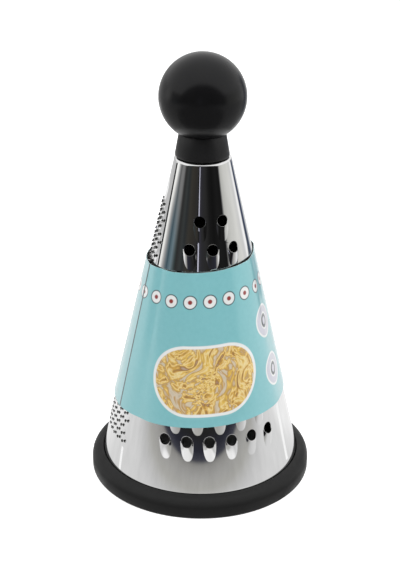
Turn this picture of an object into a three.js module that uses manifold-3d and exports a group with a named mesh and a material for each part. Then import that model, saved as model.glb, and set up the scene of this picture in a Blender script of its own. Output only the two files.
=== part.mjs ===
// Cone grater of the 9 inch class, in millimetres, +Z up, standing on z = 0.
// A rolled sheet-steel cone is punched with a coarse, a fine and a slicing zone. Its lower edge
// sits in the groove of a rubber base ring. A ball knob on a flared collar is held to the flat top
// by one screw from inside. A card sleeve is slipped over the cone from above.
// Azimuth is measured in degrees from the front (-Y) towards +X.

import * as THREE from "three";
import { mergeGeometries, mergeVertices } from "three/addons/utils/BufferGeometryUtils.js";
import Module from "manifold-3d";

const wasm = await Module();
wasm.setup();

// Clearances
const fitGap = 0.3; // around pieces that are pushed into one another
const slipGap = 0.3; // between the card and the steel that it lies on

// Steel cone
const sheetThickness = 0.4;
const coneFootRadius = 54.8; // outside, at the sheet's lower edge
const coneTopRadius = 14.85; // outside, where the wall line would meet the flat top
const coneHeight = 173; // from the sheet's lower edge to its flat top
const shoulderRadius = 2.2; // outside bend between the wall and the flat top

// Base ring
const ringWall = 4.3; // rubber outside the steel, at the sheet's lower edge
const ringHeight = 11.3;
const ringFloor = 3; // rubber below the groove
const ringTopFillet = 3.6;
const ringFootChamfer = 1.2;
const ringLipThickness = 2.4;
const ringLipHeight = 8.5;

// Ball knob and collar
const ballRadius = 21.95;
const ballFlatRadius = 8; // flat under the ball that bears on the collar
const collarFootRadius = 13.8;
const collarTopRadius = 12.1;
const collarHeight = 12.04; // from the steel to the crease under the ball
const collarFillet = 1;
const collarRecessDepth = 7; // moulded hollow in the collar's underside
const collarHubWall = 2.8;
const collarSkirtWall = 3.2;

// Screw, washer and threaded insert
const screwRadius = 2.5;
const screwHeadRadius = 4.6;
const screwHeadHeight = 3.2;
const screwEdge = 0.8; // chamfers on the head and the tip
const driveWidth = 1.1; // cross recess in the head
const driveLength = 5.4;
const driveDepth = 1.6;
const washerRadius = 8;
const washerThickness = 1;
const insertRadius = 4.2;
const insertLength = 14;
const insertGrooveDepth = 0.6;
const insertGrooveWidth = 3;
const insertHeadroom = 2; // empty bore above the insert

// Three punched zones share the wall evenly
const coarseAzimuth = 13;
const fineAzimuth = coarseAzimuth - 120;
const slicerAzimuth = coarseAzimuth + 120;
const punchSink = 0.25; // how far a raised punching is let into the sheet

// Coarse zone: staggered rows of round holes, each with a raised lip that opens upwards
const coarseHalfAngle = 36.6; // no hole centre lies further from the zone's middle
const coarseRows = 9;
const coarseFirstRow = 38.2; // height of the lowest row of hole centres
const coarseRowPitch = 13.8;
const coarsePitch = 11.65; // between neighbours in a row, along the wall
const coarseHoleRadius = 2.9;
const hoodHalfWidth = 3.5;
const hoodTail = 10.4; // reach of the lip's ramp below the hole centre
const hoodNose = 3.2; // reach of the raised rim above the hole centre
const hoodHeight = 1;

// Fine zone: small burrs with sharp rims, one to each second facet of the wall
const fineHalfAngle = 51;
const fineFirstRow = 28;
const fineTopRow = 155;
const fineRowPitch = 12.5;
const burrRadius = 1.3;
const burrHoleRadius = 0.62;
const burrPeak = 1.6; // where the burr's flanks would meet, above its foot

// Slicing zone: wide slots, each with a raised blade below it
const slicerHalfAngle = 24;
const slicerRows = 3;
const slicerFirstRow = 45;
const slicerRowPitch = 40;
const slotHalfHeight = 1.6;
const bladeTail = 8; // reach of the blade's ramp below the middle of the slot
const bladeHeight = 1;

// Card sleeve
const sleeveFoot = 46.6; // height of the lower edge, at the front
const sleeveTop = 124.5;
const sleeveTilt = 2.1; // how much higher the sleeve sits at the right, and lower at the left
const cardThickness = 0.4;
const firstCrease = -67; // one of the two fold lines left by flat packing
const creaseStandOff = 0.7;
const creaseSpread = 9; // degrees over which a fold fades into the round
const sleeveEase = 18; // degrees over which the card comes back to the wall beside a zone

// Facets
const wallFacets = 48;
const sleeveFacets = 72;
const knobFacets = 28;
const smallFacets = 16;
const ballSteps = 11; // from the ball's flat to its top
const filletSteps = 3;
const hoodSides = 8;
const hoodSteps = 4; // from the tip of a lip's ramp to the rim above its hole
const burrSides = 3;
const slicerSteps = 8; // along a blade

// Derived places and sizes
const coneFootZ = ringFloor + fitGap;
const coneTopZ = coneFootZ + coneHeight;
const ringOuterRadius = coneFootRadius + fitGap + ringWall;
const coneTaper = (coneFootRadius - coneTopRadius) / coneHeight;
const coneHalfAngle = Math.atan(coneTaper);
const wallAcross = sheetThickness / Math.cos(coneHalfAngle); // wall measured level
const ballCentreZ = coneTopZ + collarHeight + Math.sqrt(ballRadius ** 2 - collarTopRadius ** 2);
const ballFlatZ = ballCentreZ - Math.sqrt(ballRadius ** 2 - ballFlatRadius ** 2);
const washerZ = coneTopZ - sheetThickness - washerThickness;
const screwHoleRadius = screwRadius + fitGap;
const insertTopZ = ballFlatZ + insertLength;
const burrRise = burrPeak * (1 - burrHoleRadius / burrRadius) - punchSink;
const punchDepth = 2 * (Math.max(hoodHeight, burrPeak, bladeHeight) + sheetThickness);

const radians = THREE.MathUtils.degToRad;
const degrees = THREE.MathUtils.radToDeg;

// Outer radius of the steel wall at height z.
const coneRadiusAt = (z) => coneFootRadius - (z - coneFootZ) * coneTaper;

// A closed geometry as a solid that can be joined and cut.
function solidOf(geometry) {
  const bare = geometry.clone();
  bare.deleteAttribute("normal");
  bare.deleteAttribute("uv");
  const merged = mergeVertices(bare);
  const corners = merged.index.array;
  const kept = [];
  for (let i = 0; i < corners.length; i += 3) {
    const [a, b, c] = corners.slice(i, i + 3);
    if (a !== b && b !== c && c !== a) kept.push(a, b, c);
  }
  const vertProperties = Float32Array.from(merged.attributes.position.array);
  const triVerts = Uint32Array.from(kept);
  return new wasm.Manifold(new wasm.Mesh({ numProp: 3, vertProperties, triVerts }));
}

// Several separate geometries as one solid.
function solidOfAll(pieces) {
  return solidOf(mergeGeometries(pieces.map((piece) => (piece.index ? piece.toNonIndexed() : piece))));
}

// A solid back as a geometry.
function geometryOf(solid) {
  const { vertProperties, triVerts } = solid.getMesh();
  const geometry = new THREE.BufferGeometry();
  geometry.setAttribute("position", new THREE.BufferAttribute(Float32Array.from(vertProperties), 3));
  geometry.setIndex(new THREE.BufferAttribute(Uint32Array.from(triVerts), 1));
  geometry.computeVertexNormals();
  return geometry;
}

// A ring or solid of revolution about +Z, from [radius, height] pairs walked anticlockwise.
// A profile that doesn't start on the axis is closed on itself.
function revolved(profile, facets, startAzimuth = 0) {
  const points = profile.map(([r, z]) => new THREE.Vector2(r, z));
  if (points[0].x > 0) points.push(points[0].clone());
  return new THREE.LatheGeometry(points, facets, radians(startAzimuth)).rotateX(Math.PI / 2);
}

// Profile points on a circle, from one angle to another in degrees, ends included.
function arc(centreR, centreZ, radius, from, to, steps) {
  return Array.from({ length: steps + 1 }, (_, i) => {
    const angle = radians(THREE.MathUtils.lerp(from, to, i / steps));
    return [centreR + radius * Math.cos(angle), centreZ + radius * Math.sin(angle)];
  });
}

// Pieces on the wall are modelled on a flat sheet, where x runs along the wall towards larger
// azimuth, y runs up the slope and z stands off the outer face.

// Sets a small piece on the wall as it is.
function setOnCone(geometry, azimuth, height) {
  const upright = new THREE.Matrix4().makeRotationX(Math.PI / 2 - coneHalfAngle);
  const turn = new THREE.Matrix4().makeRotationZ(radians(azimuth));
  const outward = new THREE.Matrix4().makeTranslation(0, -coneRadiusAt(height), height);
  return geometry.applyMatrix4(turn.multiply(outward).multiply(upright));
}

// Bends a wide piece round the wall.
function rollOnCone(geometry, azimuth, height) {
  const place = geometry.getAttribute("position");
  for (let i = 0; i < place.count; i++) {
    const z = height + place.getY(i) * Math.cos(coneHalfAngle);
    const turn = radians(azimuth) + place.getX(i) / coneRadiusAt(z);
    const reach = coneRadiusAt(z) + place.getZ(i) * Math.cos(coneHalfAngle);
    const rise = place.getZ(i) * Math.sin(coneHalfAngle);
    place.setXYZ(i, reach * Math.sin(turn), -reach * Math.cos(turn), z + rise);
  }
  return geometry;
}

// Offsets, in degrees from a zone's middle, of a row as long as the zone's half angle allows.
// Every second row is shifted by half a step.
function rowOffsets(halfAngle, step, shifted) {
  const offsets = [];
  for (let offset = shifted ? 0 : step / 2; offset <= halfAngle; offset += step) {
    offsets.push(offset);
    if (offset > 0) offsets.push(-offset);
  }
  return offsets;
}

// Steel cone: the rolled wall, the bend and the flat top with its screw hole.
function plainCone() {
  const slope = degrees(coneHalfAngle);
  const bendZ = coneTopZ - shoulderRadius;
  const bendR = coneRadiusAt(bendZ) - shoulderRadius / Math.cos(coneHalfAngle);
  return revolved(
    [
      [coneFootRadius - wallAcross, coneFootZ],
      [coneFootRadius, coneFootZ],
      ...arc(bendR, bendZ, shoulderRadius, slope, 90, filletSteps),
      [screwHoleRadius, coneTopZ],
      [screwHoleRadius, coneTopZ - sheetThickness],
      ...arc(bendR, bendZ, shoulderRadius - sheetThickness, 90, slope, filletSteps),
    ],
    wallFacets,
  );
}

// A straight punch through the sheet and whatever is raised on it.
function punch(radius, sides) {
  return new THREE.CylinderGeometry(radius, radius, punchDepth, sides).rotateX(Math.PI / 2);
}

// The swelling round a coarse hole: long below the hole, short above it, flat where it enters
// the sheet.
function hood() {
  const profile = Array.from({ length: hoodSteps + 1 }, (_, i) => {
    const angle = radians(-90 + (180 * i) / hoodSteps);
    const onAxis = i === 0 || i === hoodSteps;
    const reach = angle < 0 ? hoodTail : hoodNose;
    return new THREE.Vector2(onAxis ? 0 : hoodHalfWidth * Math.cos(angle), reach * Math.sin(angle));
  });
  const shape = new THREE.LatheGeometry(profile, hoodSides).scale(1, 1, hoodHeight / hoodHalfWidth);
  const place = shape.getAttribute("position");
  for (let i = 0; i < place.count; i++) place.setZ(i, Math.max(place.getZ(i), -punchSink));
  return shape;
}

function coarsePunchings() {
  const raised = [];
  const holes = [];
  for (let row = 0; row < coarseRows; row++) {
    const z = coarseFirstRow + row * coarseRowPitch;
    const step = degrees(coarsePitch / coneRadiusAt(z));
    for (const offset of rowOffsets(coarseHalfAngle, step, row % 2 === 1)) {
      raised.push(rollOnCone(hood(), coarseAzimuth + offset, z));
      holes.push(setOnCone(punch(coarseHoleRadius, hoodSides), coarseAzimuth + offset, z));
    }
  }
  return { raised, holes };
}

function finePunchings() {
  const raised = [];
  const holes = [];
  const facet = 360 / wallFacets;
  const middle = (Math.floor(fineAzimuth / facet) + 0.5) * facet;
  const rows = Math.floor((fineTopRow - fineFirstRow) / fineRowPitch);
  for (let row = 0; row <= rows; row++) {
    const z = fineFirstRow + row * fineRowPitch;
    for (const offset of rowOffsets(fineHalfAngle, 2 * facet, row % 2 === 1)) {
      const burr = new THREE.ConeGeometry(burrRadius, burrPeak, burrSides).rotateX(Math.PI / 2);
      raised.push(setOnCone(burr.translate(0, 0, burrPeak / 2 - punchSink), middle + offset, z));
      holes.push(setOnCone(punch(burrHoleRadius, burrSides), middle + offset, z));
    }
  }
  return { raised, holes };
}

function slicerPunchings() {
  const raised = [];
  const holes = [];
  for (let row = 0; row < slicerRows; row++) {
    const z = slicerFirstRow + row * slicerRowPitch;
    const length = 2 * radians(slicerHalfAngle) * coneRadiusAt(z);
    const ramp = new THREE.Shape();
    ramp.moveTo(-bladeTail, -punchSink);
    ramp.lineTo(0, -punchSink);
    ramp.lineTo(0, bladeHeight);
    ramp.closePath();
    const settings = { depth: length, steps: slicerSteps, bevelEnabled: false };
    const blade = new THREE.ExtrudeGeometry(ramp, settings).translate(0, 0, -length / 2);
    const slot = new THREE.BoxGeometry(length, 2 * slotHalfHeight, punchDepth, slicerSteps);
    raised.push(rollOnCone(blade.rotateY(Math.PI / 2).rotateX(Math.PI / 2), slicerAzimuth, z));
    holes.push(rollOnCone(slot, slicerAzimuth, z));
  }
  return { raised, holes };
}

function graterCone() {
  const coarse = coarsePunchings();
  const fine = finePunchings();
  const slicer = slicerPunchings();
  const raised = solidOfAll([...coarse.raised, ...fine.raised, ...slicer.raised]);
  const holes = solidOfAll([...coarse.holes, ...fine.holes, ...slicer.holes]);
  return geometryOf(solidOf(plainCone()).add(raised).subtract(holes));
}

// Base ring: a rubber channel whose sloping groove takes the cone's lower edge.
function baseRing() {
  const outerFace = (z) => coneRadiusAt(z) + fitGap;
  const innerFace = (z) => coneRadiusAt(z) - wallAcross - fitGap;
  const filletR = ringOuterRadius - ringTopFillet;
  const filletZ = ringHeight - ringTopFillet;
  return revolved(
    [
      [innerFace(ringFloor) - ringLipThickness, 0],
      [ringOuterRadius - ringFootChamfer, 0],
      [ringOuterRadius, ringFootChamfer],
      ...arc(filletR, filletZ, ringTopFillet, 0, 90, filletSteps),
      [outerFace(ringHeight), ringHeight],
      [outerFace(ringFloor), ringFloor],
      [innerFace(ringFloor), ringFloor],
      [innerFace(ringLipHeight), ringLipHeight],
      [innerFace(ringLipHeight) - ringLipThickness, ringLipHeight],
    ],
    wallFacets,
  );
}

// Neck collar: flared foot, hollow underside and a dished top that the ball sits in.
function neckCollar() {
  const seat = ballRadius + fitGap;
  const seatAngle = (r) => -degrees(Math.acos(r / seat));
  const seatFlatR = Math.sqrt(seat ** 2 - (ballCentreZ - ballFlatZ) ** 2);
  const hub = screwHoleRadius + collarHubWall;
  const skirt = collarFootRadius - collarSkirtWall;
  const recessZ = coneTopZ + collarRecessDepth;
  const filletR = collarFootRadius - collarFillet;
  return revolved(
    [
      [screwHoleRadius, coneTopZ],
      [hub, coneTopZ],
      [hub, recessZ],
      [skirt, recessZ],
      [skirt, coneTopZ],
      ...arc(filletR, coneTopZ + collarFillet, collarFillet, -90, 0, filletSteps),
      ...arc(0, ballCentreZ, seat, seatAngle(collarTopRadius), seatAngle(seatFlatR), filletSteps),
      [screwHoleRadius, ballFlatZ],
    ],
    knobFacets,
  );
}

// Ball knob: a ball with a flat and a blind bore underneath.
function ballKnob() {
  const bore = insertRadius + fitGap;
  const roof = insertTopZ + insertHeadroom;
  const flatAngle = -degrees(Math.acos(ballFlatRadius / ballRadius));
  const outside = arc(0, ballCentreZ, ballRadius, flatAngle, 90, ballSteps).slice(0, -1);
  const top = [0, ballCentreZ + ballRadius];
  return revolved([[0, roof], [bore, roof], [bore, ballFlatZ], ...outside, top], knobFacets);
}

// Threaded insert: a bush with a groove round its middle that keys it into the ball.
function knobInsert() {
  const grooveFoot = ballFlatZ + (insertLength - insertGrooveWidth) / 2;
  const grooveTop = grooveFoot + insertGrooveWidth;
  const waist = insertRadius - insertGrooveDepth;
  return revolved(
    [
      [screwHoleRadius, ballFlatZ],
      [insertRadius, ballFlatZ],
      [insertRadius, grooveFoot],
      [waist, grooveFoot],
      [waist, grooveTop],
      [insertRadius, grooveTop],
      [insertRadius, insertTopZ],
      [screwHoleRadius, insertTopZ],
    ],
    smallFacets,
  );
}

// Screw: pan head with a cross recess under the washer, shank up into the insert.
function knobScrew() {
  const headZ = washerZ - screwHeadHeight;
  const tipZ = insertTopZ - screwRadius;
  const body = revolved(
    [
      [0, headZ],
      [screwHeadRadius - screwEdge, headZ],
      [screwHeadRadius, headZ + screwEdge],
      [screwHeadRadius, washerZ],
      [screwRadius, washerZ],
      [screwRadius, tipZ - screwEdge],
      [screwRadius - screwEdge, tipZ],
      [0, tipZ],
    ],
    smallFacets,
  );
  const bar = new THREE.BoxGeometry(driveLength, driveWidth, 2 * driveDepth).translate(0, 0, headZ);
  const cross = solidOf(bar).add(solidOf(bar.clone().rotateZ(Math.PI / 2)));
  return geometryOf(solidOf(body).subtract(cross));
}

// Washer between the screw head and the inside of the cone's flat top.
function screwWasher() {
  const top = washerZ + washerThickness;
  const profile = [
    [screwHoleRadius, washerZ],
    [washerRadius, washerZ],
    [washerRadius, top],
    [screwHoleRadius, top],
  ];
  return revolved(profile, smallFacets);
}

// How far the card stands off the steel at an azimuth: clear of what is raised in each zone, close
// to the plain wall between the zones, with a slight ridge along each of the two opposite folds.
function sleeveStandOff(azimuth) {
  const from = (other) => Math.abs(degrees(Math.asin(Math.sin(radians((azimuth - other) / 2)))) * 2);
  const lift = (rise, zone, halfAngle) => {
    return rise * (1 - THREE.MathUtils.smoothstep(from(zone), halfAngle, halfAngle + sleeveEase));
  };
  const lipReach = coarseHalfAngle + degrees(hoodHalfWidth / coneRadiusAt(sleeveTop));
  const rise = Math.max(
    lift(hoodHeight, coarseAzimuth, lipReach),
    lift(burrRise, fineAzimuth, fineHalfAngle),
    lift(bladeHeight, slicerAzimuth, slicerHalfAngle),
  );
  const fromFold = Math.min(from(firstCrease), from(firstCrease + 180));
  const ridge = creaseStandOff * Math.exp(-fromFold / creaseSpread);
  return slipGap + rise / Math.cos(coneHalfAngle) + ridge;
}

// Card sleeve: an open band round the cone, sitting slightly askew.
function cardSleeve() {
  const profile = [
    [coneRadiusAt(sleeveFoot), sleeveFoot],
    [coneRadiusAt(sleeveFoot) + cardThickness, sleeveFoot],
    [coneRadiusAt(sleeveTop) + cardThickness, sleeveTop],
    [coneRadiusAt(sleeveTop), sleeveTop],
  ];
  const band = revolved(profile, sleeveFacets, firstCrease);
  const place = band.getAttribute("position");
  for (let i = 0; i < place.count; i++) {
    const x = place.getX(i);
    const y = place.getY(i);
    const azimuth = Math.atan2(x, -y);
    const lift = sleeveTilt * Math.sin(azimuth);
    const stretch = 1 + (sleeveStandOff(degrees(azimuth)) - lift * coneTaper) / Math.hypot(x, y);
    place.setXYZ(i, x * stretch, y * stretch, place.getZ(i) + lift);
  }
  band.computeVertexNormals();
  return band;
}

// Assembly: the pieces that stay together, and the sleeve that lifts off.
function piece(name, geometry, color, roughness, metalness) {
  const material = new THREE.MeshStandardMaterial({ color, roughness, metalness });
  const mesh = new THREE.Mesh(geometry, material);
  mesh.name = name;
  return mesh;
}

const grater = new THREE.Group();
grater.add(
  piece("grater_cone", graterCone(), 0xc9cbcc, 0.08, 1),
  piece("base_ring", baseRing(), 0x17171a, 0.6, 0),
  piece("neck_collar", neckCollar(), 0x1b1b1d, 0.55, 0),
  piece("ball_knob", ballKnob(), 0x1b1b1d, 0.5, 0),
  piece("knob_insert", knobInsert(), 0xb5975a, 0.35, 1),
  piece("knob_screw", knobScrew(), 0xb9bbbd, 0.3, 1),
  piece("screw_washer", screwWasher(), 0xb9bbbd, 0.3, 1),
);

const coneGrater = new THREE.Group();
coneGrater.add(grater, piece("card_sleeve", cardSleeve(), 0x89c5cb, 0.35, 0));

export default coneGrater;
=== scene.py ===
# %% [markdown]
# # A cone grater
# A sheet-steel cone with three punched zones stands in a rubber ring. A ball knob sits on a flared
# collar, and a printed card sleeve is slipped over the middle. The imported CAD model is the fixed
# frame: every new piece below is modelled in its place, in metres, and takes over from a CAD solid.

# %% Load the frame
from math import acos, atan, atan2, copysign, cos, degrees, exp, hypot, pi, radians, sin, sqrt, tan

import bmesh
import bpy
from mathutils import Matrix, Vector


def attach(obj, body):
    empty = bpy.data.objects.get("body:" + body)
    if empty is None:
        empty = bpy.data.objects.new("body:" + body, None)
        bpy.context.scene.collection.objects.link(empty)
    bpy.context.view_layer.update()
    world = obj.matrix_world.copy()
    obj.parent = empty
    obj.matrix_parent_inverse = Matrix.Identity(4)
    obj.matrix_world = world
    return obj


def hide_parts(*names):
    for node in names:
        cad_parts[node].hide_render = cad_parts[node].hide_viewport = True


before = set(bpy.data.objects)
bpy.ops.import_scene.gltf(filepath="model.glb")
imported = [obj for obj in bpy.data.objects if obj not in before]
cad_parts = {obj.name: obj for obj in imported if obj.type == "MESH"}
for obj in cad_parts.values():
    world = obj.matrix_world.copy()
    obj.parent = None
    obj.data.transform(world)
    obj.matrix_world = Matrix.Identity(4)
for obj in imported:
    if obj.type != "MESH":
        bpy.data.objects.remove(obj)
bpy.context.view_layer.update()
print("frame:", sorted(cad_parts))

# %% [markdown]
# ## The camera
# The photograph was taken from about 23 degrees above, with a fairly long lens. A camera can be
# placed by eye, but a least-squares fit of a round cone to the outline gave its place, pitch, small
# roll and focal length, so these numbers are used as they are.

# %% Camera
PHOTO_WIDTH, PHOTO_HEIGHT = 400, 570
CAMERA_PLACE = Vector((0, -0.59727, 0.36472))
CAMERA_PITCH, CAMERA_ROLL = 0.4093, 0.0076
FOCAL_PIXELS, CENTRE_PIXEL = 1243.05, 201.34
SENSOR = 36

camera_data = bpy.data.cameras.new("camera")
camera_data.sensor_width = SENSOR
camera_data.lens = SENSOR * FOCAL_PIXELS / PHOTO_HEIGHT
camera_data.shift_x = (PHOTO_WIDTH / 2 - CENTRE_PIXEL) / PHOTO_HEIGHT
camera = bpy.data.objects.new("camera", camera_data)
bpy.context.collection.objects.link(camera)
look_down = Matrix.Rotation(pi / 2 - CAMERA_PITCH, 4, "X")
lean = Matrix.Rotation(CAMERA_ROLL, 4, "Z")
camera.matrix_world = Matrix.Translation(CAMERA_PLACE) @ look_down @ lean
bpy.context.scene.camera = camera
print("camera lens", round(camera_data.lens, 2), "mm")

# %% [markdown]
# ## Working sizes and small helpers
# Sizes are written in millimetres, as on a drawing, and turned into metres when a mesh is made.
# A turned piece is a profile spun about the upright axis, and an open one grows as its edges are
# extruded. Shading is smooth, and only edges that bend more than a limit are sharp, so that polished
# faces reflect cleanly.

# %% Helpers
MM = 0.001
STEEL_FOOT_Z, STEEL_TOP_Z = 3.3, 176.3
STEEL_FOOT_RADIUS, STEEL_TOP_RADIUS = 54.8, 14.85
SLOPE = atan((STEEL_FOOT_RADIUS - STEEL_TOP_RADIUS) / (STEEL_TOP_Z - STEEL_FOOT_Z))


def wall_radius(z):
    """Outer radius of the steel at a height."""
    return STEEL_FOOT_RADIUS - (z - STEEL_FOOT_Z) * tan(SLOPE)


def azimuth_of(place):
    """Degrees from the front, -Y, towards +X."""
    return degrees(atan2(place.x, -place.y))


def around(radius, azimuth, z):
    """A point in metres on a circle about the axis, from millimetres and degrees."""
    turn = radians(azimuth)
    return MM * Vector((radius * sin(turn), -radius * cos(turn), z))


def turn_from(azimuth, other):
    """Turn of one azimuth from another, to either side."""
    return (azimuth - other + 180) % 360 - 180


def ease(share):
    """A smooth step from 0 to 1."""
    share = min(1, max(0, share))
    return share * share * (3 - 2 * share)


def arc(centre, radius, start, end, steps):
    """Profile points on a circle, between two angles in degrees."""
    angles = [radians(start + (end - start) * i / steps) for i in range(steps + 1)]
    return [(centre[0] + radius * cos(a), centre[1] + radius * sin(a)) for a in angles]


def crisp(bm, limit=35):
    """Shades smooth, apart from edges that bend more than the limit in degrees."""
    for face in bm.faces:
        face.smooth = True
    for edge in bm.edges:
        edge.smooth = len(edge.link_faces) == 2 and edge.calc_face_angle() < radians(limit)


def mesh_from(bm, name):
    mesh = bpy.data.meshes.new(name)
    bm.to_mesh(mesh)
    bm.free()
    print(name, len(mesh.polygons), "faces")
    return mesh


def object_from(bm, name):
    made = bpy.data.objects.new(name, mesh_from(bm, name))
    bpy.context.collection.objects.link(made)
    return made


def piece_from(bm, name, body, slot, *nodes):
    """Makes the finished mesh a piece that rides on a body and takes over from CAD solids."""
    piece = object_from(bm, name)
    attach(piece, body)
    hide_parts(*nodes)
    return piece


def turned(profile, steps=96):
    """A closed profile of [radius, height] points, spun about the axis."""
    bm = bmesh.new()
    points = [bm.verts.new((r * MM, 0, z * MM)) for r, z in profile]
    edges = [bm.edges.new(pair) for pair in zip(points, points[1:] + points[:1])]
    on_axis = [e for e in edges if all(abs(v.co.x) < 1e-9 for v in e.verts)]
    for edge in on_axis:
        bm.edges.remove(edge)
        edges.remove(edge)
    bmesh.ops.spin(bm, geom=points + edges, cent=(0, 0, 0), axis=(0, 0, 1),
                   angle=2 * pi, steps=steps, use_merge=True)
    bmesh.ops.remove_doubles(bm, verts=bm.verts, dist=1e-7)
    bmesh.ops.recalc_face_normals(bm, faces=bm.faces)
    return bm


def extruded(bm, edges, place):
    """Extrudes edges, puts each new vertex where a function says, and gives the new edges."""
    made = bmesh.ops.extrude_edge_only(bm, edges=edges)["geom"]
    for v in made:
        if isinstance(v, bmesh.types.BMVert):
            v.co = place(v)
    return [e for e in made if isinstance(e, bmesh.types.BMEdge)]


def with_edges(faces):
    """Faces with their edges and corners, as bisect_plane takes them."""
    return list({e for f in faces for e in f.edges} | {v for f in faces for v in f.verts} | set(faces))


def thicken(piece, thickness, rim, limit):
    """Gives a sheet its thickness inwards, with material slots for its back and its cut edge."""
    for number in range(rim + 1):
        piece.data.materials.append(None)
    solid = piece.modifiers.new("thickness", "SOLIDIFY")
    solid.thickness = thickness * MM
    solid.offset = -1
    solid.material_offset = 1
    solid.material_offset_rim = rim
    shaped = piece.evaluated_get(bpy.context.evaluated_depsgraph_get())
    mesh = bpy.data.meshes.new_from_object(shaped)
    piece.modifiers.clear()
    piece.data = mesh
    bm = bmesh.new()
    bm.from_mesh(mesh)
    crisp(bm, limit)
    bm.to_mesh(mesh)
    bm.free()
    print(piece.name, len(mesh.polygons), "faces with its thickness")


print("slope of the wall", round(degrees(SLOPE), 2), "degrees")

# %% [markdown]
# ## The steel cone: stamp it flat, then roll it
# In the factory the pattern is stamped in a flat sheet that is then rolled into a cone. The mesh is
# made the same way. Small flat stamps, one for each kind of hole, are laid side by side in three
# sheets, where x runs along the wall, y up its slope and z stands off its face. Cutting holes in a
# finished cone with booleans would be shorter, but it leaves ragged faces that a mirror finish shows.

# %% A flat stamp grows ring by ring
def first_ring(stamp, count, place):
    """A circle of vertices, each of which remembers its own turn about the middle."""
    turn = stamp.verts.layers.float.new("turn")
    ring = bmesh.ops.create_circle(stamp, segments=count, radius=1)["verts"]
    for v in ring:
        v[turn] = round(degrees(atan2(v.co.y, v.co.x)), 4)
        v.co = place(v[turn])
    return list({e for v in ring for e in v.link_edges})


def next_ring(stamp, edges, place):
    """Extrudes a ring of edges, and puts each new vertex where its turn says."""
    turn = stamp.verts.layers.float["turn"]
    return extruded(stamp, edges, lambda v: place(v[turn]))


def lay(sheet, stamp, x, y, depth=1):
    """Lays a copy of a stamp on a sheet, pressed to a share of its full depth."""
    known = len(sheet.verts)
    sheet.from_mesh(stamp)
    sheet.verts.ensure_lookup_table()
    bmesh.ops.scale(sheet, verts=sheet.verts[known:], vec=(1, 1, depth))
    bmesh.ops.translate(sheet, verts=sheet.verts[known:], vec=(x, y, 0))


# %% [markdown]
# ### The coarse stamp
# Each coarse hole is round with a softly rolled rim, and the metal below it is pressed out as a tongue
# whose upper end is the cutting lip. The tongue is a blunt half ellipse in plan and rises as a straight
# ramp, flat across with rounded flanks, so that only its edges mirror the sides of the room. The top
# row, where the cone is tightest, is pressed to half the depth.

# %% Coarse stamp
HOLE_RADIUS, RIM_WIDTH, RIM_DROP = 2.85, 0.13, 0.06
TONGUE_HALF_WIDTH, TONGUE_REACH, TONGUE_RISE = 3.4, 10.67, 1.2
ABOVE_HOLE, BELOW_HOLE = 3.13, 10.95
BLUNT, FLANK_POWER, RAMP_POWER = 2.5, 3, 1.06
LIP_RUN, TOP_ROW_DEPTH = 1.8, 0.5
COARSE_PITCH, COARSE_ROW = 11.65, 14.163
TONGUE_RINGS = (0.3, 0.6, 0.82, 0.94, 1.0)
COARSE_SIDES = 32


def tongue_rise(x, y):
    """How far the pressed metal stands off the sheet."""
    if not -TONGUE_REACH < y < 0:
        return 0
    half_width = TONGUE_HALF_WIDTH * (1 - (-y / TONGUE_REACH) ** BLUNT) ** (1 / BLUNT)
    across = min(1, abs(x) / half_width)
    crown = 1 - across ** FLANK_POWER
    ramp = min(1, (TONGUE_REACH + y) / (TONGUE_REACH - HOLE_RADIUS)) ** RAMP_POWER
    return TONGUE_RISE * crown * ramp * ease(-y / LIP_RUN)


def tongue_place(turn, share):
    """A point between the hole's rim (share 0) and the tongue's outline (share 1)."""
    x, y = cos(radians(turn)), sin(radians(turn))
    reach, bend = (TONGUE_REACH, 2 / BLUNT) if y < 0 else (ABOVE_HOLE, 1)
    across, up = [copysign(abs(n) ** bend, n) for n in (x, y)]
    outline = Vector((TONGUE_HALF_WIDTH * across, reach * up, 0))
    rim = HOLE_RADIUS + RIM_WIDTH
    spot = Vector((rim * x, rim * y, 0)).lerp(outline, share)
    spot.z = tongue_rise(spot.x, spot.y)
    return spot


def hole_edge(turn):
    """A point on the rolled edge of the hole."""
    spot = tongue_place(turn, 0)
    inward = HOLE_RADIUS / (HOLE_RADIUS + RIM_WIDTH)
    return Vector((spot.x * inward, spot.y * inward, spot.z - RIM_DROP))


def coarse_edge(turn):
    """A point on the stamp's rectangular edge."""
    side, along = divmod((turn + 45) % 360, 90)
    along = along / 45 - 1
    x, y = ((1, along), (-along, 1), (-1, -along), (along, -1))[int(side)]
    return Vector((x * COARSE_PITCH / 2, (y + 1) * COARSE_ROW / 2 - BELOW_HOLE, 0))


coarse = bmesh.new()
ring = first_ring(coarse, COARSE_SIDES, hole_edge)
for share in (0, *TONGUE_RINGS):
    ring = next_ring(coarse, ring, lambda turn: tongue_place(turn, share))
next_ring(coarse, ring, coarse_edge)
coarse_stamp = mesh_from(coarse, "coarse_stamp")

plain = bmesh.new()
bmesh.ops.create_grid(plain, x_segments=8, y_segments=8, size=0.5)
bmesh.ops.scale(plain, verts=plain.verts, vec=(COARSE_PITCH, COARSE_ROW, 1))
bmesh.ops.translate(plain, verts=plain.verts, vec=(0, COARSE_ROW / 2 - BELOW_HOLE, 0))
coarse_blank = mesh_from(plain, "coarse_blank")

# %% [markdown]
# ### The fine stamp
# A square spike pierces the sheet, which splits along the four corners and bends four small flaps
# outwards. There are hundreds of burrs, so each has only sixteen faces. The stamps are rhombic, because
# the rows are staggered, and hold two burrs: one half is made, and laid twice.

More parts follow.
